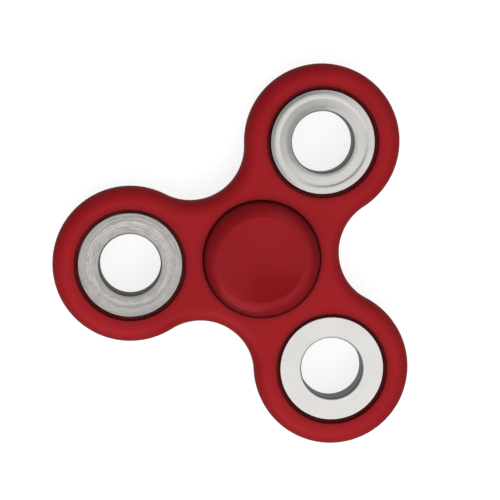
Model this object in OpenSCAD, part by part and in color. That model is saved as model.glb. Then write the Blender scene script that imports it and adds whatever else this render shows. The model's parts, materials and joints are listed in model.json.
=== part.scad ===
// Three-lobed hand spinner, in millimetres.
// A moulded body carries three press-fitted steel rings and turns on a deep-groove ball bearing.
// The bearing's inner race is held between two finger caps, which stand proud of the body.
// The origin is the middle of the bearing, and +Z is the spin axis, towards the front cap.

/* [Body] */
// Distance from the spin axis to the middle of each weight ring
arm_r = 25.8; // [25.2:0.1:26.2]
// Radius of each round lobe
lobe_r = 15.3; // [15:0.1:16]
// Radius of the hollow between two lobes
valley_r = 10.6; // [10:0.1:12]
// Thickness of the body
body_t = 8; // [8:0.1:8.6]
// Radius of the rounded outer edges
edge_r = 2.9; // [1:0.1:3.6]
// Width of the narrow relief round each opening
relief_w = 0.5; // [0.3:0.05:0.6]
// Depth of that relief
relief_t = 1.2; // [0.8:0.1:1.6]
// Radius of the rounding at the relief's edge
mouth_r = 0.2; // [0.1:0.05:0.3]
// Width of the lip that stops each ring and the bearing at the back
lip_w = 0.6; // [0.3:0.1:1]

/* [Weight rings] */
// Outer diameter of a ring
ring_od = 20.8; // [20:0.1:21.4]
// Diameter of the hole through a ring
ring_id = 12; // [10:0.1:14]
// Thickness of a ring
ring_t = 7; // [6:0.1:7]
// Bevel on a ring's outer edge
ring_bevel = 0.3; // [0.1:0.05:0.5]
// Rounding of a ring's inner edge
ring_round = 0.4; // [0.2:0.05:0.6]
// Radius inside which the face is turned down
ring_step_r = 8.8; // [8:0.1:9.5]
// Depth of that turned step on ring 1
ring_1_step = 0.22; // [0.05:0.01:0.3]
// Depth of that turned step on ring 2
ring_2_step = 0.14; // [0.05:0.01:0.3]
// Depth of that turned step on ring 3
ring_3_step = 0.05; // [0.05:0.01:0.3]

/* [Finger caps] */
// Outer diameter of a cap
cap_d = 22.7; // [22.4:0.1:24]
// Overall height over both caps
overall_h = 13; // [12.4:0.1:14]
// Running gap between a cap and the body's face
cap_gap = 0.3; // [0.2:0.05:0.5]
// Height of the cap's upright edge
cap_side = 0.45; // [0.2:0.05:0.6]
// Outer radius of the flat crest
crest_r = 8.6; // [8.2:0.1:9.2]
// Width of the flat crest
crest_w = 0.4; // [0.3:0.05:0.7]
// Depth of the dish at its middle
dish_depth = 0.9; // [0.4:0.05:1.2]
// Wall thickness of a cap
cap_wall = 1.1; // [0.9:0.1:1.3]
// Number of slots that let the stem spring into the bearing
stem_slots = 4; // [2:1:6]

/* [Ball bearing] */
// Outer diameter of the bearing
bearing_od = 22; // [22:0.01:22.02]
// Bore of the bearing
bearing_bore = 8; // [8:0.01:8.02]
// Width of the bearing
bearing_w = 7; // [6.9:0.1:7]
// Diameter of a ball
ball_d = 3.969; // [3.9:0.001:3.969]
// Diameter of the circle through the balls' middles
pitch_d = 15; // [14.9:0.05:15.1]

/* [Hidden] */
$fn = 96;
eps = 0.02;

// Places that follow from the sizes above
arm_angles = [60, 180, 300];
valley_angles = [0, 120, 240];
half_span = arm_r * sin(60);
valley_d = arm_r / 2 + sqrt(pow(lobe_r + valley_r, 2) - pow(half_span, 2));
body_top = body_t / 2;

// Middles of the hollows and of the lobes in turn, anticlockwise from +X
corners = [for (i = [0:2]) each [
    valley_d * [cos(valley_angles[i]), sin(valley_angles[i])],
    arm_r * [cos(arm_angles[i]), sin(arm_angles[i])]
]];
ring_steps = [ring_1_step, ring_2_step, ring_3_step];

// Bearing details
ball_count = 7;
ball_r = ball_d / 2;
pitch_r = pitch_d / 2;
groove_r = ball_r + 0.035;
inner_land_r = 6.05;
outer_land_r = 8.95;
recess_r = 9.6;
recess_z = 2.45;
race_bevel = 0.3;
shield_z = 2.5;
shield_t = 0.3;
shield_dish = 0.25;
shield_hole_r = inner_land_r + 0.1;
clip_section = 0.4;
clip_groove_r = 9.86;
clip_gap_angle = 26;
cage_sheet = 0.25;
cage_in_r = 6.75;
cage_out_r = 8.25;
pocket_r = ball_r + 0.1;
rivet_r = 0.35;
rivet_head_r = 0.6;
rivet_head_t = 0.22;

// Cap details
cap_top = overall_h / 2;
cap_base = body_top + cap_gap;
cap_shoulder = cap_base + cap_side;
cap_floor = max(cap_base, cap_top - dish_depth - cap_wall);
core_top = cap_top - cap_wall - 0.2;
slope_r = 3.8;
boss_r = 5.75;
stem_r = bearing_bore / 2 - eps;
stem_bore_r = 2.3;
stem_len = 3.2;
stem_z = bearing_w / 2 - stem_len;
slot_w = 0.8;

// Centre of the circle of radius r through p and q, on the right when going from p to q
function centre_through(p, q, r) =
    let (
        d = q - p,
        h = sqrt(r * r - d * d / 4)
    )
    (p + q) / 2 + h * [d[1], -d[0]] / norm(d);

// What rounding to radius e takes off a corner at p; sx and sy point out of the corner
module corner_waste(p, e, sx, sy) {
    difference() {
        translate([p[0] - (sx > 0 ? e : 1), p[1] - (sy > 0 ? e : 1)])
            square(e + 1);
        translate([p[0] - sx * e, p[1] - sy * e])
            circle(e);
    }
}

// ---------- body ----------

// Half section of a lobe: a disc with rounded edges
module lobe_section() {
    difference() {
        translate([0, -body_top])
            square([lobe_r, body_t]);
        for (s = [-1, 1])
            corner_waste([lobe_r, s * body_top], edge_r, 1, s);
    }
}

// Half section of what is cut away for a hollow, leaving the same rounded edge as on a lobe
module hollow_section() {
    h = body_top - edge_r;
    difference() {
        translate([0, -body_top - 1])
            square([valley_r + edge_r, body_t + 2]);
        translate([valley_r, -h])
            square([edge_r + 1, 2 * h]);
        for (s = [-1, 1])
            translate([valley_r + edge_r, s * h])
                circle(edge_r);
    }
}

// The solid between the lobes: straight sides run from each lobe's middle to each hollow's middle
module hub_block() {
    difference() {
        translate([0, 0, -body_top])
            linear_extrude(body_t)
                polygon(corners);
        for (i = [0, 2, 4])
            translate([corners[i][0], corners[i][1], 0])
                rotate_extrude()
                    hollow_section();
    }
}

// The rest of the three lobes, outside the hub block's sides
module lobes() {
    difference() {
        for (i = [1, 3, 5])
            translate([corners[i][0], corners[i][1], 0])
                rotate_extrude()
                    lobe_section();
        translate([0, 0, -body_top - 1])
            linear_extrude(body_t + 2)
                polygon(corners);
    }
}

// Room for a round insert pressed in from the front: a relief at the mouth, and a lip at the back
module seat(r, depth) {
    mouth = r + relief_w;
    rotate_extrude()
        difference() {
            polygon([
                [0, -body_top - 1], [r - lip_w, -body_top - 1],
                [r - lip_w, -depth], [r, -depth],
                [r, body_top - relief_t], [mouth, body_top - relief_t],
                [mouth, body_top - mouth_r], [mouth + mouth_r, body_top - mouth_r],
                [mouth + mouth_r, body_top + 1], [0, body_top + 1],
            ]);
            translate([mouth + mouth_r, body_top - mouth_r])
                circle(mouth_r);
        }
}

module spinner_body() {
    color("firebrick")
        difference() {
            union() {
                hub_block();
                lobes();
            }
            seat(bearing_od / 2 + eps, bearing_w / 2);
            for (i = [1, 3, 5])
                translate([corners[i][0], corners[i][1], 0])
                    seat(ring_od / 2 + eps, ring_t / 2);
        }
}

// ---------- weight rings ----------

// Ring number i, counted from 0: bevelled outside, rounded inside, with a turned step in each face
module weight_ring(i) {
    ro = ring_od / 2;
    ri = ring_id / 2;
    h = ring_t / 2;
    low = h - ring_steps[i];
    slope_end = ring_step_r + ring_steps[i];
    color("silver")
        rotate(arm_angles[i])
            translate([arm_r, 0, 0])
                rotate_extrude()
                    difference() {
                        polygon([
                            [ri, -low], [ring_step_r, -low], [slope_end, -h],
                            [ro - ring_bevel, -h], [ro, -h + ring_bevel],
                            [ro, h - ring_bevel], [ro - ring_bevel, h],
                            [slope_end, h], [ring_step_r, low], [ri, low],
                        ]);
                        for (s = [-1, 1])
                            corner_waste([ri, s * low], ring_round, -1, s);
                    }
}

// ---------- finger caps ----------

// Half section of a cap: dished top, flat crest, curved shoulder, cored underside, boss and stem
module cap_section() {
    ro = cap_d / 2;
    dish_edge = crest_r - crest_w;
    dish_sphere = (dish_edge * dish_edge + dish_depth * dish_depth) / (2 * dish_depth);
    crest = [crest_r, cap_top];
    shoulder = [ro, cap_shoulder];
    difference() {
        polygon([
            [0, cap_top], [ro, cap_top], [ro, cap_base + 0.1], [ro - 0.1, cap_base],
            [ro - cap_wall, cap_base], [crest_r + 0.6, core_top], [crest_r - 1.4, core_top],
            [boss_r + 0.9, cap_floor], [boss_r, cap_floor], [boss_r, bearing_w / 2],
            [stem_r, bearing_w / 2], [stem_r, stem_z + 0.3], [stem_r - 0.3, stem_z],
            [stem_bore_r, stem_z], [stem_bore_r, cap_floor - 0.4], [0, cap_floor - 0.4],
        ]);
        translate([0, cap_top - dish_depth + dish_sphere])
            circle(dish_sphere, $fn = 720);
        difference() {
            polygon([crest, crest + [0, 1], [ro + 1, cap_top + 1], [ro + 1, cap_shoulder], shoulder]);
            translate(centre_through(crest, shoulder, slope_r))
                circle(slope_r);
        }
    }
}

module cap() {
    difference() {
        rotate_extrude()
            cap_section();
        for (i = [0:stem_slots - 1])
            rotate(45 + 360 * i / stem_slots)
                translate([0, -slot_w / 2, stem_z - 1])
                    cube([stem_r + 0.5, slot_w, stem_len]);
    }
}

module front_cap() {
    color("darkred")
        cap();
}

module back_cap() {
    color("darkred")
        rotate([180, 0, 0])
            cap();
}

// ---------- ball bearing ----------

// Half section of a race: a bevelled rectangle
module race_section(r_in, r_out) {
    h = bearing_w / 2;
    b = race_bevel;
    polygon([
        [r_in + b, -h], [r_out - b, -h], [r_out, -h + b], [r_out, h - b],
        [r_out - b, h], [r_in + b, h], [r_in, h - b], [r_in, -h + b],
    ]);
}

// The groove that the balls run in, as a full ring
module ball_groove() {
    rotate_extrude()
        translate([pitch_r, 0])
            circle(groove_r);
}

module bearing_inner_race() {
    color("lightgray")
        difference() {
            rotate_extrude()
                race_section(bearing_bore / 2, inner_land_r);
            ball_groove();
        }
}

module bearing_outer_race() {
    color("lightgray")
        difference() {
            rotate_extrude()
                race_section(outer_land_r, bearing_od / 2);
            ball_groove();
            for (s = [0, 180])
                rotate([s, 0, 0]) {
                    translate([0, 0, recess_z])
                        cylinder(r = recess_r, h = bearing_w);
                    translate([0, 0, shield_z + shield_t])
                        cylinder(r = clip_groove_r, h = clip_section + eps);
                }
        }
}

// Ball number i, counted from 0
module bearing_ball(i) {
    color("gainsboro")
        rotate(360 * i / ball_count)
            translate([pitch_r, 0, 0])
                sphere(ball_r);
}

// Front half of the ribbon cage: a flat ring with a domed pocket over each ball
module cage_half() {
    difference() {
        intersection() {
            rotate_extrude()
                translate([cage_in_r, 0])
                    square([cage_out_r - cage_in_r, ball_d]);
            union() {
                cylinder(r = cage_out_r + 1, h = cage_sheet);
                for (i = [0:ball_count - 1])
                    rotate(360 * i / ball_count)
                        translate([pitch_r, 0, 0])
                            sphere(pocket_r + cage_sheet);
            }
        }
        for (i = [0:ball_count - 1])
            rotate(360 * i / ball_count) {
                translate([pitch_r, 0, 0])
                    sphere(pocket_r);
                rotate(180 / ball_count)
                    translate([pitch_r, 0, -1])
                        cylinder(r = rivet_r + eps, h = 2);
            }
    }
}

module cage_front_half() {
    color("darkkhaki")
        cage_half();
}

module cage_back_half() {
    color("darkkhaki")
        rotate([180, 0, 0])
            cage_half();
}

// Seven rivets, each with a head on both sides of the cage
module cage_rivets() {
    grip = cage_sheet + eps / 2;
    color("darkkhaki")
        for (i = [0:ball_count - 1])
            rotate(360 * (i + 0.5) / ball_count)
                translate([pitch_r, 0, 0]) {
                    cylinder(r = rivet_r, h = 2 * grip, center = true);
                    for (s = [0, 180])
                        rotate([s, 0, 0])
                            translate([0, 0, grip])
                                cylinder(r1 = rivet_head_r, r2 = rivet_head_r * 0.7, h = rivet_head_t);
                }
}

// Thin dished washer that closes the bearing's face
module shield() {
    step_in = shield_hole_r + 1;
    step_out = step_in + 0.5;
    high = shield_z + shield_dish;
    rotate_extrude()
        polygon([
            [shield_hole_r, high], [step_in, high], [step_out, shield_z],
            [recess_r - eps, shield_z], [recess_r - eps, shield_z + shield_t],
            [step_out + 0.1, shield_z + shield_t], [step_in + 0.1, high + shield_t],
            [shield_hole_r, high + shield_t],
        ]);
}

module front_shield() {
    color("slategray")
        shield();
}

module back_shield() {
    color("slategray")
        rotate([180, 0, 0])
            shield();
}

// Open spring ring that holds a shield in the outer race's groove
module shield_clip() {
    inner = clip_groove_r - eps - clip_section - 0.1;
    rotate(clip_gap_angle / 2)
        rotate_extrude(angle = 360 - clip_gap_angle)
            translate([inner, shield_z + shield_t + eps / 2])
                square([clip_section + 0.1, clip_section]);
}

module front_shield_clip() {
    color("dimgray")
        shield_clip();
}

module back_shield_clip() {
    color("dimgray")
        rotate([180, 0, 0])
            shield_clip();
}

spinner_body();
weight_ring(0);  // weight_ring_1
weight_ring(1);  // weight_ring_2
weight_ring(2);  // weight_ring_3
front_cap();
back_cap();
bearing_outer_race();
bearing_inner_race();
bearing_ball(0);  // bearing_ball_1
bearing_ball(1);  // bearing_ball_2
bearing_ball(2);  // bearing_ball_3
bearing_ball(3);  // bearing_ball_4
bearing_ball(4);  // bearing_ball_5
bearing_ball(5);  // bearing_ball_6
bearing_ball(6);  // bearing_ball_7
cage_front_half();
cage_back_half();
cage_rivets();
front_shield();
back_shield();
front_shield_clip();
back_shield_clip();
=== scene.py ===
"""Looks for the fidget spinner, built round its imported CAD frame. Shapes are worked out in millimetres."""

import json
import math

import bmesh
import bpy
from mathutils import Matrix, Vector


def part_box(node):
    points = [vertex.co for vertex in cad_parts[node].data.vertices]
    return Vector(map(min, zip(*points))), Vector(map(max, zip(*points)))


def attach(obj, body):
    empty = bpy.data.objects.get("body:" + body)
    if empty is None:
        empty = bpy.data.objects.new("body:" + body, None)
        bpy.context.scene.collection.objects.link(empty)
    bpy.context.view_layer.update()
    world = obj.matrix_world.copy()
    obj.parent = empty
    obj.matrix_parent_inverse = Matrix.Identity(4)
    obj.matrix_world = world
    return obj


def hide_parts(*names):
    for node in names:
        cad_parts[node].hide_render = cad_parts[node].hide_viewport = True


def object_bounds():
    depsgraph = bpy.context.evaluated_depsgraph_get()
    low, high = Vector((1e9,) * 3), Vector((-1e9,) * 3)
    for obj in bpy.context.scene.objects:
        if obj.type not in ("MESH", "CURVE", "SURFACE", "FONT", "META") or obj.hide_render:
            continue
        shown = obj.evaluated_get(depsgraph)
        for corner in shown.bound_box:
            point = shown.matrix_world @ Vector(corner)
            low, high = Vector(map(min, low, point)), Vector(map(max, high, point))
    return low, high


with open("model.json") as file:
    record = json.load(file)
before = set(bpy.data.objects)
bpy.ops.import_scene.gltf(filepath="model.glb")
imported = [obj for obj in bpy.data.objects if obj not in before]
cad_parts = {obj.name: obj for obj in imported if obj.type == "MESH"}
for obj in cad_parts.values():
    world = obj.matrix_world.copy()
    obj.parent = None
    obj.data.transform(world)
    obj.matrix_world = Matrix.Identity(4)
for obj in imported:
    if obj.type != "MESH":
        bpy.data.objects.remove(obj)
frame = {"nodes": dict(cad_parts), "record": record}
CAD_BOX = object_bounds()

MM = 0.001
TAU = 2 * math.pi
SIXTH = TAU / 6

# ---------------------------------------------------------------- sizes, from the frame
BORES = [m for m in frame["record"]["mounts"] if m["name"].startswith("weight_bore")]
RING_CENTRES = [Vector(m["pos_m"]) for m in BORES]
HOLE_R = BORES[0]["dims"]["r_mm"]
ARM_R = RING_CENTRES[0].length / MM
BODY_LO, BODY_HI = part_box("spinner_body")
BODY_TOP = BODY_HI.z / MM
LOBE_R = -BODY_LO.x / MM - ARM_R
RING_LO, RING_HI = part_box("weight_ring_1")
RING_TOP = RING_HI.z / MM
RING_R = (RING_HI.x - RING_LO.x) / 2 / MM
CAP_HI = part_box("front_cap")[1]
CAP_TOP = CAP_HI.z / MM
CAP_R = CAP_HI.x / MM
BEARING_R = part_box("bearing_outer_race")[1].x / MM

# ---------------------------------------------------------------- sizes that the frame doesn't state
VALLEY_R = 10.6                                 # outline of the hollow between two lobes
EDGE_R = 2.9                                    # rounding of the body's outer edge
RELIEF_W, RELIEF_T, MOUTH_R = 0.5, 1.2, 0.2     # groove round each opening at the front
LIP_W, LIP_T = 0.6, 0.5                         # stop at the back of each pocket
SEAT_GAP = 0.02
SEAT_SEGMENTS = 192
PARTING_RIDGE = 0.025
OUTLINE_STEP = 0.32
EDGE_STEPS = 18

LATHE_SEGMENTS = 256
CORNER_STEP = 9.0                               # degrees
SUPPORT = 0.06                                  # how far a run's support points are from its ends


# ---------------------------------------------------------------- profiles and meshes
def fillet(corners):
    """Rounds an open polyline. Each corner is (x, y, radius)."""
    out = []
    for i, (x, y, radius) in enumerate(corners):
        p = Vector((x, y))
        if radius <= 0 or i in (0, len(corners) - 1):
            out.append(p)
            continue
        a = (Vector(corners[i - 1][:2]) - p).normalized()
        b = (Vector(corners[i + 1][:2]) - p).normalized()
        half = math.acos(max(-1, min(1, a.dot(b)))) / 2
        cut = radius / math.tan(half)
        centre = p + (a + b).normalized() * (radius / math.sin(half))
        start, end = p + a * cut - centre, p + b * cut - centre
        sweep = start.angle_signed(end)
        steps = max(2, math.ceil(abs(math.degrees(sweep)) / CORNER_STEP))
        out += [centre + Matrix.Rotation(-sweep * k / steps, 2) @ start for k in range(steps + 1)]
    return add_support(out)


def add_support(points):
    """Puts a point just inside each end of every long run, which keeps smooth shading flat along it."""
    out = [points[0]]
    for p, q in zip(points, points[1:]):
        run = q - p
        if run.length > 6 * SUPPORT:
            out += [p + run.normalized() * SUPPORT, q - run.normalized() * SUPPORT]
        out.append(q)
    return out


def arc(cx, cy, radius, a0, a1, steps):
    """Points of an arc, angles in degrees."""
    angles = [math.radians(a0 + (a1 - a0) * k / steps) for k in range(steps + 1)]
    return [Vector((cx + radius * math.cos(t), cy + radius * math.sin(t))) for t in angles]


def smooth_step(x, lo, hi):
    t = max(0.0, min(1.0, (x - lo) / (hi - lo)))
    return t * t * (3 - 2 * t)


def finish_mesh(bm, name, material):
    bmesh.ops.recalc_face_normals(bm, faces=bm.faces[:])
    mesh = bpy.data.meshes.new(name)
    bm.to_mesh(mesh)
    bm.free()
    for p in mesh.polygons:
        p.use_smooth = True
    obj = bpy.data.objects.new(name, mesh)
    bpy.context.scene.collection.objects.link(obj)
    mesh.materials.append(material)
    return obj


def lathe(name, profile, material, closed=True, centre=(0, 0, 0)):
    """Turns a profile of (r, z) points about Z. A point with r = 0 becomes a single pole."""
    n = LATHE_SEGMENTS
    bm = bmesh.new()
    rings = []
    for r, z in profile:
        if r < 1e-6:
            rings.append([bm.verts.new((0, 0, z * MM))])
        else:
            turns = [TAU * k / n for k in range(n)]
            rings.append([bm.verts.new((r * MM * math.cos(t), r * MM * math.sin(t), z * MM)) for t in turns])
    for a, b in list(zip(rings, rings[1:])) + ([(rings[-1], rings[0])] if closed else []):
        for k in range(n):
            m = (k + 1) % n
            if len(a) == 1:
                bm.faces.new((a[0], b[k], b[m]))
            elif len(b) == 1:
                bm.faces.new((a[k], b[0], a[m]))
            else:
                bm.faces.new((a[k], b[k], b[m], a[m]))
    obj = finish_mesh(bm, name, material)
    obj.location = centre
    return obj


# ---------------------------------------------------------------- node trees
class Nodes:
    """A short way to write node trees. Inputs are given by name or number, values as constants or sockets."""

    def __init__(self, tree):
        self.tree = tree

    def set(self, node, socket, value):
        if isinstance(value, bpy.types.NodeSocket):
            self.tree.links.new(value, node.inputs[socket])
        elif value is not None:
            node.inputs[socket].default_value = value

    def add(self, kind, inputs=None, **props):
        node = self.tree.nodes.new(kind)
        for key, value in props.items():
            setattr(node, key, value)
        for key, value in (inputs or {}).items():
            self.set(node, key, value)
        return node

    def math(self, op, a, b):
        return self.add("ShaderNodeMath", {0: a, 1: b}, operation=op).outputs[0]

    def remap(self, value, lo, hi, out_lo=0.0, out_hi=1.0, kind="LINEAR"):
        return self.add("ShaderNodeMapRange", {0: value, 1: lo, 2: hi, 3: out_lo, 4: out_hi},
                        interpolation_type=kind).outputs[0]

    def ease(self, value, lo, hi, out_lo=0.0, out_hi=1.0):
        """remap with soft ends."""
        return self.remap(value, lo, hi, out_lo, out_hi, kind="SMOOTHSTEP")


class Graph(Nodes):
    """The node tree of a new material, with its main shader."""

    def __init__(self, name):
        self.material = bpy.data.materials.new(name)
        self.material.use_nodes = True
        super().__init__(self.material.node_tree)
        self.shader = self.tree.nodes["Principled BSDF"]

    def finish(self, **values):
        """Sets the shader's inputs, named with _ for a space, and returns the material."""
        for key, value in values.items():
            self.set(self.shader, key.replace("_", " "), value)
        return self.material

    def vector(self, op, a, b=None, scale=None):
        """Vector maths. LENGTH and DOT_PRODUCT give a number, the others a vector."""
        node = self.add("ShaderNodeVectorMath", {0: a, 1: b, "Scale": scale}, operation=op)
        return node.outputs["Value" if op in ("LENGTH", "DOT_PRODUCT") else "Vector"]

    def position(self):
        """Object coordinates, in millimetres."""
        return self.vector("SCALE", self.add("ShaderNodeTexCoord").outputs["Object"], scale=1 / MM)

    def radius(self, vector):
        """Distance from the Z axis."""
        return self.vector("LENGTH", self.vector("MULTIPLY", vector, (1, 1, 0)))

    def noise(self, vector, scale, detail, rough=0.5, distortion=0.0):
        return self.add("ShaderNodeTexNoise", {"Vector": vector, "Scale": scale, "Detail": detail,
                                               "Roughness": rough, "Distortion": distortion}).outputs[0]

    def noise_1d(self, value, scale, detail, rough):
        return self.add("ShaderNodeTexNoise", {"W": value, "Scale": scale, "Detail": detail,
                                               "Roughness": rough}, noise_dimensions="1D").outputs[0]

    def weighted(self, a, weight_a, b, weight_b):
        return self.math("ADD", self.math("MULTIPLY", a, weight_a), self.math("MULTIPLY", b, weight_b))

    def mix(self, factor, a, b):
        """Blends two colours."""
        return self.add("ShaderNodeMix", {0: factor, 6: a, 7: b}, data_type="RGBA").outputs[2]

    def bump(self, height, distance, strength):
        return self.add("ShaderNodeBump", {"Height": height, "Distance": distance * MM,
                                           "Strength": strength}).outputs[0]


def rgb(r, g, b):
    return (r, g, b, 1.0)


def shade(color, factor):
    return rgb(*(c * factor for c in color))


# ---------------------------------------------------------------- materials
# Dark red used as painted shade: round the rings, next to the cap and along the cap's rim.
PAINTED_SHADE = rgb(0.022, 0.0016, 0.0020)
RED_SHEEN = rgb(1.0, 0.16, 0.18)                # tints the plastics' reflections


def body_plastic():
    """Satin red plastic with a fine grain, handled patches, and painted shade round each ring and round the
    cap.
    """
    g = Graph("moulded_red_plastic")
    p = g.position()
    cloud = g.noise(p, scale=0.07, detail=2.0)
    grain = g.noise(p, scale=5.5, detail=4.0, rough=0.62)
    fine = g.noise(p, scale=16.0, detail=2.0)
    scuff = g.noise(g.vector("MULTIPLY", p, (1.0, 5.5, 2.0)), scale=0.55, detail=5.0, rough=0.7,
                    distortion=0.6)
    handled = g.remap(scuff, 0.56, 0.78)
    deep, light, dusty = rgb(0.262, 0.0075, 0.0105), rgb(0.298, 0.0092, 0.0128), rgb(0.33, 0.014, 0.018)
    base = g.mix(g.remap(cloud, 0.3, 0.7), deep, light)
    base = g.mix(g.math("MULTIPLY", g.remap(grain, 0.42, 0.75), 0.16), base, dusty)
    cap_seam = g.math("SUBTRACT", g.radius(p), CAP_R - 0.15)
    ring_seam = None
    for centre in RING_CENTRES:
        offset = g.vector("SUBTRACT", p, tuple(c / MM for c in centre))
        near = g.math("SUBTRACT", g.radius(offset), RING_R)
        ring_seam = near if ring_seam is None else g.math("MINIMUM", ring_seam, near)
    ragged = g.math("MULTIPLY", g.math("SUBTRACT", grain, 0.5), 0.3)
    # Painted shade with a ragged edge: dark in the groove round each ring and next to the cap, fading over
    # the body.
    for seam, thick, thin in ((ring_seam, 0.72, 0.26), (cap_seam, 0.50, 0.16)):
        seam = g.math("ADD", seam, ragged)
        painted_shade = g.math("MAXIMUM", g.ease(seam, 0.90, 0.45, 0.0, thick), g.ease(seam, 1.9, 0.6, 0.0, thin))
        base = g.mix(painted_shade, base, PAINTED_SHADE)
    rough = g.math("SUBTRACT", g.remap(grain, 0.3, 0.7, 0.40, 0.50), g.math("MULTIPLY", handled, 0.07))
    height = g.weighted(grain, 0.7, fine, 0.3)
    return g.finish(Base_Color=base, Roughness=rough, Normal=g.bump(height, 0.018, 0.5), IOR=1.47,
                    Specular_Tint=RED_SHEEN)


def cap_plastic():
    """Polished red plastic, a little hazy, with painted shade down the slope and along the rim."""
    g = Graph("polished_red_plastic")
    p = g.position()
    r = g.radius(p)
    cloud = g.noise(p, scale=0.12, detail=2.0)
    wave = g.noise(p, scale=0.35, detail=2.0, rough=0.4)
    haze = g.noise(p, scale=2.4, detail=5.0, rough=0.65)
    stroke = g.noise(g.vector("MULTIPLY", p, (9.0, 0.9, 1.0)), scale=0.8, detail=3.0, rough=0.6,
                     distortion=0.4)
    hairlines = g.remap(stroke, 0.66, 0.72)
    deep, light, milky = rgb(0.212, 0.0052, 0.0085), rgb(0.236, 0.0064, 0.0100), rgb(0.28, 0.014, 0.018)
    base = g.mix(g.remap(cloud, 0.3, 0.7), deep, light)
    base = g.mix(g.math("MULTIPLY", g.remap(haze, 0.5, 0.8), 0.12), base, milky)
    # Painted shade: darker down the outer slope.
    base = g.mix(g.ease(r, 8.9, 10.3, 0.0, 0.20), base, rgb(0.05, 0.002, 0.003))
    # Painted shade: a dark line along the rim's edge, next to the body.
    base = g.mix(g.ease(r, CAP_R - 0.6, CAP_R - 0.1, 0.0, 0.6), base, PAINTED_SHADE)
    rough = g.math("ADD", g.remap(haze, 0.3, 0.75, 0.19, 0.26), g.math("MULTIPLY", hairlines, 0.08))
    height = g.weighted(wave, 1.0, haze, 0.06)
    return g.finish(Base_Color=base, Roughness=rough, Normal=g.bump(height, 0.012, 0.4), IOR=1.49,
                    Specular_Tint=RED_SHEEN)


def turned_steel(name, base, rough, lines, wear, bore_darkening, seed, side=None, rim=0.0):
    """Lathe-turned steel: concentric tool marks, cloudy tone, worn streaks, darker band and painted shade
    round the bore.

    lines and wear are how strong the marks and the streaks are. side is (degrees, inner, middle, outer):
    the direction towards which painted shade darkens the ring, and how much at the bore's edge, across the
    inner land and at the outer edge. rim is how much duller the outer land is than the inner one."""
    g = Graph(name)
    p = g.position()
    r = g.radius(p)
    z = g.add("ShaderNodeSeparateXYZ", {0: p}).outputs[2]
    shifted = g.vector("ADD", p, (seed * 3.1, seed * 1.7, seed * 0.9))
    wobble = g.math("MULTIPLY", g.noise(shifted, scale=0.25, detail=1.0), 0.12)
    across = g.math("ADD", g.math("ADD", r, z), wobble)
    broad = g.noise_1d(across, scale=2.8, detail=2.0, rough=0.5)
    marks = g.noise_1d(across, scale=9.0, detail=5.0, rough=0.75)
    cloud = g.noise(shifted, scale=0.16, detail=3.0, rough=0.55)

    # Noise that varies slowly round the ring and quickly across it gives streaks that follow the turning.
    along_ring, across_ring = 2.6, 3.2
    direction = g.vector("NORMALIZE", g.vector("MULTIPLY", p, (1, 1, 0)))
    turn = g.vector("SCALE", direction, scale=along_ring)
    depth = g.math("MULTIPLY", across, across_ring)
    lift = g.add("ShaderNodeCombineXYZ", {0: seed, 1: seed * 0.7, 2: depth}).outputs[0]
    polar = g.vector("ADD", turn, lift)
    streak = g.weighted(g.noise(polar, scale=1.3, detail=5.0, rough=0.66, distortion=0.4), 0.7,
                        g.noise(shifted, scale=0.9, detail=5.0, rough=0.7, distortion=0.6), 0.3)
    worn = g.math("MULTIPLY", g.ease(streak, 0.53 - 0.10 * wear, 0.70 - 0.12 * wear), wear)

    dark, dull, lip_painted_shade, side_shade = (shade(base, f) for f in (0.86 - 0.26 * lines, 0.55, 0.25, 0.40))
    color = g.mix(g.math("MULTIPLY", g.remap(marks, 0.38, 0.62), lines), rgb(*base), dark)
    color = g.mix(g.math("MULTIPLY", g.remap(broad, 0.42, 0.60), lines), color, dark)
    color = g.mix(g.math("MULTIPLY", g.remap(cloud, 0.4, 0.7), 0.18), color, dark)
    color = g.mix(g.ease(r, 8.15, 8.75, 0.0, rim), color, dull)
    color = g.mix(worn, color, dull)
    color = g.mix(g.ease(r, HOLE_R + 1.3, HOLE_R + 0.2, 0.0, bore_darkening), color, dull)
    # Painted shade: a thin dark line over the bore's edge and the top of its cone.
    lip_start = g.remap(r, HOLE_R + 0.02, HOLE_R + 0.06)
    lip = g.math("MULTIPLY", lip_start, g.remap(r, HOLE_R + 0.42, HOLE_R + 0.24))
    color = g.mix(g.math("MULTIPLY", lip, 0.75), color, lip_painted_shade)
    # Painted shade: the ring darker towards one side, at the bore's edge, across the inner land and at the
    # outer edge.
    if side:
        angle, inner, middle, outer = side
        toward = (math.cos(math.radians(angle)), math.sin(math.radians(angle)), 0)
        ragged = g.math("MULTIPLY", g.math("SUBTRACT", streak, 0.5), 1.5 * along_ring)
        facing = g.ease(g.math("ADD", g.vector("DOT_PRODUCT", turn, toward), ragged), -0.9, 2.3)
        edges = g.math("ADD", g.ease(r, HOLE_R + 1.5, HOLE_R + 0.6, 0.0, inner),
                       g.ease(r, 9.15, 9.75, 0.0, outer))
        zones = g.math("ADD", edges, g.ease(r, 8.65, 8.25, 0.0, middle))
        color = g.mix(g.math("MULTIPLY", facing, zones), color, side_shade)

    level = g.remap(marks, 0.25, 0.75, rough - 0.04, rough + 0.06)
    level = g.math("ADD", level, g.math("MULTIPLY", g.remap(cloud, 0.35, 0.7), 0.05))
    level = g.math("ADD", level, g.math("MULTIPLY", worn, 0.22))
    return g.finish(Base_Color=color, Metallic=1.0, Roughness=level,
                    Normal=g.bump(marks, 0.006, 0.22 + 0.6 * lines))


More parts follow.
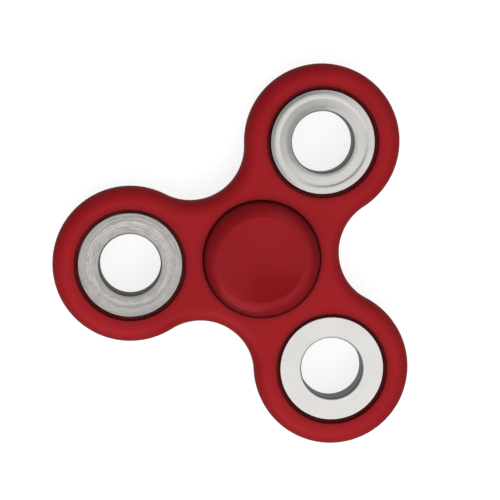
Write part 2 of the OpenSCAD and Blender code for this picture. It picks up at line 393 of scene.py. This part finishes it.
def plain_steel(name, base, rough, scale, stretch=(1.0, 1.0, 1.0)):
    """Steel for the bearing's pieces: fine marks, finer along the stretched axis, and a cloudy tone."""
    g = Graph(name)
    p = g.position()
    cloud = g.noise(p, scale=0.4, detail=3.0, rough=0.55)
    grain = g.noise(g.vector("MULTIPLY", p, stretch), scale=scale, detail=4.0, rough=0.7)
    dark = shade(base, 0.8)
    color = g.mix(g.remap(grain, 0.35, 0.7), rgb(*base), dark)
    color = g.mix(g.math("MULTIPLY", g.remap(cloud, 0.4, 0.7), 0.3), color, dark)
    level = g.remap(grain, 0.3, 0.7, rough - 0.05, rough + 0.08)
    return g.finish(Base_Color=color, Metallic=1.0, Roughness=level, Normal=g.bump(grain, 0.004, 0.4))


BODY_RED = body_plastic()
CAP_RED = cap_plastic()
RING_STEELS = [
    turned_steel("turned_steel_soft", (0.485, 0.473, 0.457), rough=0.27, lines=0.22, wear=0.22,
                 bore_darkening=0.30, seed=1.0, side=(155, 0.58, 0.34, 0.80)),
    turned_steel("turned_steel_marked", (0.580, 0.556, 0.533), rough=0.32, lines=0.98, wear=0.82,
                 bore_darkening=0.85, seed=2.0, side=(265, 0.55, 0.10, 0.45), rim=0.62),
    turned_steel("turned_steel_bright", (0.512, 0.500, 0.487), rough=0.25, lines=0.07, wear=0.05,
                 bore_darkening=0.0, seed=3.0),
]

# ---------------------------------------------------------------- body
LOBE_DIRECTIONS = sorted(math.atan2(c.y, c.x) % TAU for c in RING_CENTRES)
VALLEY_D = ARM_R / 2 + math.sqrt((LOBE_R + VALLEY_R) ** 2 - (ARM_R * math.sin(SIXTH)) ** 2)
HOLLOW = Vector((VALLEY_D * math.cos(SIXTH) - ARM_R, VALLEY_D * math.sin(SIXTH)))
LOBE_HALF = math.atan2(HOLLOW.y, HOLLOW.x)


def outline():
    """Points round the body as (centre, unit direction, radius, side): side 1 on a lobe, -1 in a hollow."""
    points = []
    for a in LOBE_DIRECTIONS:
        lobe = Vector((ARM_R * math.cos(a), ARM_R * math.sin(a)))
        count = round(2 * LOBE_HALF * LOBE_R / OUTLINE_STEP)
        for k in range(count):
            t = a - LOBE_HALF + 2 * LOBE_HALF * k / count
            points.append((lobe, Vector((math.cos(t), math.sin(t))), LOBE_R, 1))
        b = a + SIXTH
        hollow = Vector((VALLEY_D * math.cos(b), VALLEY_D * math.sin(b)))
        half = LOBE_HALF - SIXTH
        count = round(2 * half * VALLEY_R / OUTLINE_STEP)
        for k in range(count):
            t = b + math.pi + half - 2 * half * k / count
            points.append((hollow, Vector((math.cos(t), math.sin(t))), VALLEY_R, -1))
    return points


def edge_profile():
    """(inward distance, z) from the front flat, over the rounded edge and the parting ridge, to the back."""
    h = BODY_TOP - EDGE_R
    inset = PARTING_RIDGE
    half = [(EDGE_R + 0.10, BODY_TOP), (EDGE_R + 0.03, BODY_TOP)]
    half += [(EDGE_R - (EDGE_R - inset) * math.sin(t), h + EDGE_R * math.cos(t))
             for t in (math.pi / 2 * k / EDGE_STEPS for k in range(EDGE_STEPS + 1))]
    half += [(inset, h * 0.5), (inset, 0.13), (inset, 0.10), (inset * 0.4, 0.07), (0.0, 0.045), (0.0, 0.0)]
    return half + [(d, -z) for d, z in reversed(half[:-1])]


def seat_profile(r):
    """(r, z) of a pocket: front flat, relief at the mouth, wall, lip, back flat."""
    top, mouth = BODY_TOP, r + RELIEF_W
    start = mouth + MOUTH_R
    shelf, lip_top, lip_r = top - RELIEF_T, -top + LIP_T, r - LIP_W
    return fillet([(start + 0.06, top, 0), (start + 0.03, top, 0), (mouth, top, MOUTH_R),
                   (mouth, shelf, 0.08), (r, shelf, 0.05), (r, lip_top, 0.05), (lip_r, lip_top, 0.05),
                   (lip_r, -top, 0.15), (lip_r + 0.5, -top, 0)])


def loop(bm, centre, r, z):
    cx, cy = centre
    turns = [TAU * k / SEAT_SEGMENTS for k in range(SEAT_SEGMENTS)]
    return [bm.verts.new(((cx + r * math.cos(t)) * MM, (cy + r * math.sin(t)) * MM, z * MM)) for t in turns]


def skin(bm, rows):
    """Faces between each closed row of vertices and the next."""
    for a, b in zip(rows, rows[1:]):
        for k in range(len(a)):
            m = (k + 1) % len(a)
            bm.faces.new((a[k], a[m], b[m], b[k]))


def fill(bm, loops):
    """Flat faces inside the first loop, with the others as holes."""
    edges = []
    for verts in loops:
        edges += [bm.edges.get((verts[k], verts[(k + 1) % len(verts)])) for k in range(len(verts))]
    bmesh.ops.triangle_fill(bm, edges=edges, use_beauty=True, use_dissolve=False)


def build_body():
    bm = bmesh.new()
    points = outline()
    rows = []
    for d, z in edge_profile():
        flat = [(c.x + u.x * (r - s * d), c.y + u.y * (r - s * d)) for c, u, r, s in points]
        rows.append([bm.verts.new((x * MM, y * MM, z * MM)) for x, y in flat])
    skin(bm, rows)
    front, back = [rows[0]], [rows[-1]]
    seats = [((c.x / MM, c.y / MM), RING_R + SEAT_GAP) for c in RING_CENTRES]
    seats.append(((0, 0), BEARING_R + SEAT_GAP))
    for centre, seat_r in seats:
        levels = [loop(bm, centre, r, z) for r, z in seat_profile(seat_r)]
        skin(bm, levels)
        front.append(levels[0])
        back.append(levels[-1])
    fill(bm, front)
    fill(bm, back)
    return finish_mesh(bm, "body_moulding", BODY_RED)


body = build_body()
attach(body, "rotor")
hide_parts("spinner_body")

# ---------------------------------------------------------------- weight rings
RING_BEVEL = 0.28
BORE_CONE = 0.9                                 # depth of the cone at each end of the bore
RING_JOIN = 0.5                                 # how far each half's bore and side stop short of the middle
FACE_MARGIN = 0.45                              # from the last sample of a face to the ring's outside
FACE_STEP = 0.07


def ring_profile(face):
    """Closed section of a ring. face lists (r, depth below the front) from the bore's edge outwards."""
    inner_r, inner_z = face[0][0], RING_TOP - face[0][1]
    outer_z = RING_TOP - face[-1][1]
    upper = fillet([(HOLE_R, RING_JOIN, 0), (HOLE_R, inner_z - BORE_CONE, 0.2),
                    (inner_r - 0.03, inner_z, 0.07), (face[1][0], RING_TOP - face[1][1], 0)])
    upper += [Vector((r, RING_TOP - depth)) for r, depth in face[1:]]
    upper += fillet([(face[-1][0], outer_z, 0), (RING_R - RING_BEVEL, outer_z, 0.12),
                     (RING_R, outer_z - RING_BEVEL, 0.12), (RING_R, RING_JOIN, 0)])[1:]
    return upper + [Vector((p[0], -p[1])) for p in reversed(upper)]


def add_cuts(depth, r, cuts):
    """Deepens a face at r by shallow tool marks, each (radius, width, depth)."""
    for at, width, cut in cuts:
        depth += cut * math.exp(-(((r - at) / width * 2) ** 2))
    return depth


def soft_face(r):
    """Ring 1: a shallow turned step, with both lands falling slightly outwards and a fall at the bore."""
    return (0.075 * (1 - smooth_step(r, 8.45, 8.95)) + 0.04 * smooth_step(r, 6.5, 8.4)
            + 0.05 * smooth_step(r, 9.2, 10.1) + 0.05 * (1 - smooth_step(r, 6.1, 6.9)))


def marked_face(r):
    """Ring 2: a lower inner land and a few shallow tool marks."""
    depth = 0.05 * (1 - smooth_step(r, 8.0, 8.6)) + 0.03 * smooth_step(r, 9.4, 10.1)
    cuts = ((7.05, 0.20, 0.008), (7.65, 0.24, 0.014), (9.1, 0.22, 0.010), (9.6, 0.18, 0.014))
    return add_cuts(depth, r, cuts)


def plain_face(r):
    """Ring 3: almost flat."""
    depth = 0.006 * (1 - smooth_step(r, 7.1, 7.6))
    return add_cuts(depth, r, ((7.0, 0.20, 0.006), (7.5, 0.20, 0.004)))


def sample_face(depth, start):
    end = RING_R - FACE_MARGIN
    count = round((end - start) / FACE_STEP)
    radii = [start + (end - start) * k / count for k in range(count + 1)]
    return [(r, depth(r)) for r in radii]


RING_FACES = [sample_face(soft_face, HOLE_R + 0.17),
              sample_face(marked_face, HOLE_R + 0.20),
              sample_face(plain_face, HOLE_R + 0.17)]
for i, face in enumerate(RING_FACES):
    ring = lathe(f"weight_ring_{i + 1}_turned", ring_profile(face), RING_STEELS[i], centre=RING_CENTRES[i])
    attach(ring, "rotor")
    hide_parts(f"weight_ring_{i + 1}")

# ---------------------------------------------------------------- finger caps
DISH_EDGE, DISH_DEPTH = 8.2, 0.9
CREST_R = 8.6                                   # where the slope starts
SLOPE_R = 3.8                                   # radius of the slope's arc
CAP_BASE, CAP_SIDE = 4.3, 0.45                  # height of the rim's underside, and of the rim's side
GATE_DIMPLE = 0.03
CREST_BLEND = 0.09                              # rounding between dish and slope
# From the rim inwards, down the boss and up inside the stem: (radius, height, corner radius)
CAP_UNDERSIDE = [(9.2, 5.2, 0.15), (7.2, 5.2, 0.2), (6.65, 4.5, 0.2), (5.75, 4.5, 0.1), (5.75, 3.5, 0.08),
                 (3.98, 3.5, 0), (3.98, 0.6, 0), (3.7, 0.3, 0), (2.3, 0.3, 0.05), (2.3, 4.1, 0.1),
                 (0, 4.1, 0)]


def slope_arc(p, q, radius, steps):
    """The convex arc from p down to q."""
    p, q = Vector(p), Vector(q)
    d = q - p
    h = math.sqrt(radius ** 2 - d.length_squared / 4)
    c = (p + q) / 2 - Vector((-d.y, d.x)).normalized() * h
    a0 = math.degrees(math.atan2(p.y - c.y, p.x - c.x))
    a1 = math.degrees(math.atan2(q.y - c.y, q.x - c.x))
    return arc(c.x, c.y, radius, a0, a1, steps)


def along(points, r):
    """Height at radius r on a row of points, which runs straight on past either end."""
    for a, b in zip(points, points[1:]):
        if r <= b.x or b is points[-1]:
            return a.y + (b.y - a.y) * (r - a.x) / (b.x - a.x)


def soft_min(a, b, k):
    """The smaller of two heights, with the corner between them rounded."""
    h = max(k - abs(a - b), 0) / k
    return min(a, b) - h * h * k / 4


def dish(r):
    """Height of the dish at radius r: part of a sphere, with the moulding gate's dimple in the middle."""
    sphere = (DISH_EDGE ** 2 + DISH_DEPTH ** 2) / (2 * DISH_DEPTH)
    gate = GATE_DIMPLE * (1 - smooth_step(r, 0.8, 1.9))
    return CAP_TOP - DISH_DEPTH + sphere - math.sqrt(sphere ** 2 - r ** 2) - gate


def cap_profile():
    """Half section of the front cap: dish, rounded crest, curved slope, then the underside and the stem."""
    gate_end, crest_start, crest_end = 1.4, 7.4, 9.6
    slope = slope_arc((CREST_R, CAP_TOP), (CAP_R, CAP_BASE + CAP_SIDE), SLOPE_R, 24)
    points = [Vector((0.14 * k, dish(0.14 * k))) for k in range(10)]
    for k in range(20):
        r = gate_end + (crest_start - gate_end) * k / 20
        points.append(Vector((r, dish(r))))
    for k in range(31):
        r = crest_start + (crest_end - crest_start) * k / 30
        points.append(Vector((r, soft_min(dish(r), along(slope, r), CREST_BLEND))))
    points += [p for p in slope if crest_end + 0.02 < p.x < CAP_R - 0.08]
    rim = [(points[-1].x, points[-1].y, 0), (CAP_R, CAP_BASE + CAP_SIDE, 0.12), (CAP_R, CAP_BASE, 0.08),
           (CAP_R - 1.1, CAP_BASE, 0.1)]
    return points + fillet(rim + CAP_UNDERSIDE)[1:]


CAPS = (("front_cap_moulding", "front_cap", 0), ("back_cap_moulding", "back_cap", math.pi))
for name, node, turn in CAPS:
    cap = lathe(name, cap_profile(), CAP_RED, closed=False)
    cap.rotation_euler = (turn, 0, 0)
    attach(cap, "hub")
    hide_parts(node)

# ---------------------------------------------------------------- bearing pieces keep their CAD shapes
GROUND = plain_steel("ground_race_steel", (0.60, 0.60, 0.61), rough=0.22, scale=3.0,
                     stretch=(1.0, 1.0, 8.0))
POLISHED = plain_steel("polished_ball_steel", (0.72, 0.72, 0.73), rough=0.09, scale=2.0)
PRESSED = plain_steel("pressed_cage_steel", (0.50, 0.47, 0.42), rough=0.34, scale=1.5)
SHIELD = plain_steel("pressed_shield_steel", (0.52, 0.52, 0.53), rough=0.30, scale=2.0)
SPRING = plain_steel("drawn_spring_steel", (0.30, 0.30, 0.31), rough=0.38, scale=2.5,
                     stretch=(1.0, 1.0, 5.0))
# A node takes the first key that its name starts with, so the clips come before the shields.
FINISHES = {"bearing_outer": GROUND, "bearing_inner": GROUND, "bearing_ball": POLISHED, "cage": PRESSED,
            "front_shield_clip": SPRING, "back_shield_clip": SPRING,
            "front_shield": SHIELD, "back_shield": SHIELD}
for node_name, obj in frame["nodes"].items():
    finish = next((m for key, m in FINISHES.items() if node_name.startswith(key)), None)
    if finish:
        obj.data.materials.clear()
        obj.data.materials.append(finish)

# ---------------------------------------------------------------- stage, in metres
FLOOR_HALF = 3.0
WALL_R = FLOOR_HALF * 0.8
WALL_FOOT, WALL_HEIGHT, WALL_SIDES = -0.01, 1.5, 64


def stage_surface(name, points, faces, look_name, tone, glow, specular):
    """A matt, glowing surface at the spinner's lowest point, which neither lights it nor shows in it."""
    mesh = bpy.data.meshes.new(name)
    mesh.from_pydata(points, [], faces)
    obj = bpy.data.objects.new(name, mesh)
    obj.location = (0, 0, CAD_BOX[0].z)
    obj.visible_diffuse = False
    obj.visible_glossy = False
    bpy.context.scene.collection.objects.link(obj)
    mesh.materials.append(Graph(look_name).finish(
        Base_Color=rgb(tone, tone, tone), Roughness=0.9, Specular_IOR_Level=specular,
        Emission_Color=rgb(1.0, 1.0, 1.0), Emission_Strength=glow))
    return obj


corners = [(x * FLOOR_HALF, y * FLOOR_HALF, 0) for x, y in ((-1, -1), (1, -1), (1, 1), (-1, 1))]
floor = stage_surface("floor", corners, [(0, 1, 2, 3)], "pale_floor", tone=0.34, glow=0.80, specular=0.0)

rim = [(WALL_R * math.cos(TAU * k / WALL_SIDES), WALL_R * math.sin(TAU * k / WALL_SIDES))
       for k in range(WALL_SIDES)]
wall_points = [(x, y, z) for z in (WALL_FOOT, WALL_HEIGHT) for x, y in rim]
wall_faces = [(k, (k + 1) % WALL_SIDES, WALL_SIDES + (k + 1) % WALL_SIDES, WALL_SIDES + k)
              for k in range(WALL_SIDES)]
wall = stage_surface("backdrop", wall_points, wall_faces, "white_backdrop", tone=0.3, glow=0.95,
                     specular=0.5)
wall.visible_shadow = False


def softbox(name, direction, distance, size, power):
    """A square area light that faces the middle of the spinner."""
    light = bpy.data.lights.new(name, "AREA")
    light.shape = "RECTANGLE"
    light.size = light.size_y = size
    light.energy = power
    obj = bpy.data.objects.new(name, light)
    back = Vector(direction).normalized()
    obj.location = back * distance
    obj.rotation_euler = back.to_track_quat("Z", "Y").to_euler()
    bpy.context.scene.collection.objects.link(obj)


softbox("near_softbox", direction=(-0.36, -0.80, 0.58), distance=0.31, size=0.24, power=0.31)


def studio_dome():
    """A light tent open towards -Y and +X. The quarter over the camera is dark, and so is what lies below."""
    world = bpy.data.worlds.new("light_tent")
    world.use_nodes = True
    g = Nodes(world.node_tree)
    ray = g.add("ShaderNodeTexCoord").outputs["Generated"]
    x, y, z = g.add("ShaderNodeSeparateXYZ", {0: ray}).outputs
    lit = g.math("MAXIMUM", g.ease(x, 0.14, 0.22), g.ease(y, 0.07, -0.01))
    bright = g.ease(z, 0.18, 0.95, 0.26, 1.62)
    dark = g.ease(z, -0.2, 0.5, 0.22, 0.38)
    above = g.math("MULTIPLY", lit, g.ease(z, 0.0, 0.12))
    level = g.add("ShaderNodeMix", {0: above, 2: dark, 3: bright}).outputs[0]
    background = world.node_tree.nodes["Background"]
    g.set(background, "Color", rgb(1.0, 1.0, 1.0))
    g.set(background, "Strength", level)
    return world


bpy.context.scene.world = studio_dome()
bpy.context.scene.view_settings.view_transform = "Standard"

# ---------------------------------------------------------------- camera: near the spin axis, a little tilted
TILT_X, TILT_Y, ROLL = math.radians(5.45), math.radians(2.55), math.radians(2.54)
DISTANCE, SHIFT_X, SHIFT_Y = 0.405, 0.00216, -0.00142
FOCAL_PX, FRAME_PX = 2049.3, 500.0
SENSOR_WIDTH = 36.0
tilt_axis = Vector((TILT_X, TILT_Y, 0))
to_camera = Matrix.Rotation(tilt_axis.length, 3, tilt_axis.normalized()) @ Matrix.Rotation(ROLL, 3, "Z")
camera_data = bpy.data.cameras.new("camera")
camera_data.sensor_width = SENSOR_WIDTH
camera_data.lens = SENSOR_WIDTH * FOCAL_PX / FRAME_PX
camera_data.clip_start = 0.01
camera = bpy.data.objects.new("camera", camera_data)
place = to_camera.transposed().to_4x4()
place.translation = to_camera.transposed() @ Vector((-SHIFT_X, -SHIFT_Y, DISTANCE))
camera.matrix_world = place
bpy.context.scene.collection.objects.link(camera)
bpy.context.scene.camera = camera

bpy.context.view_layer.update()
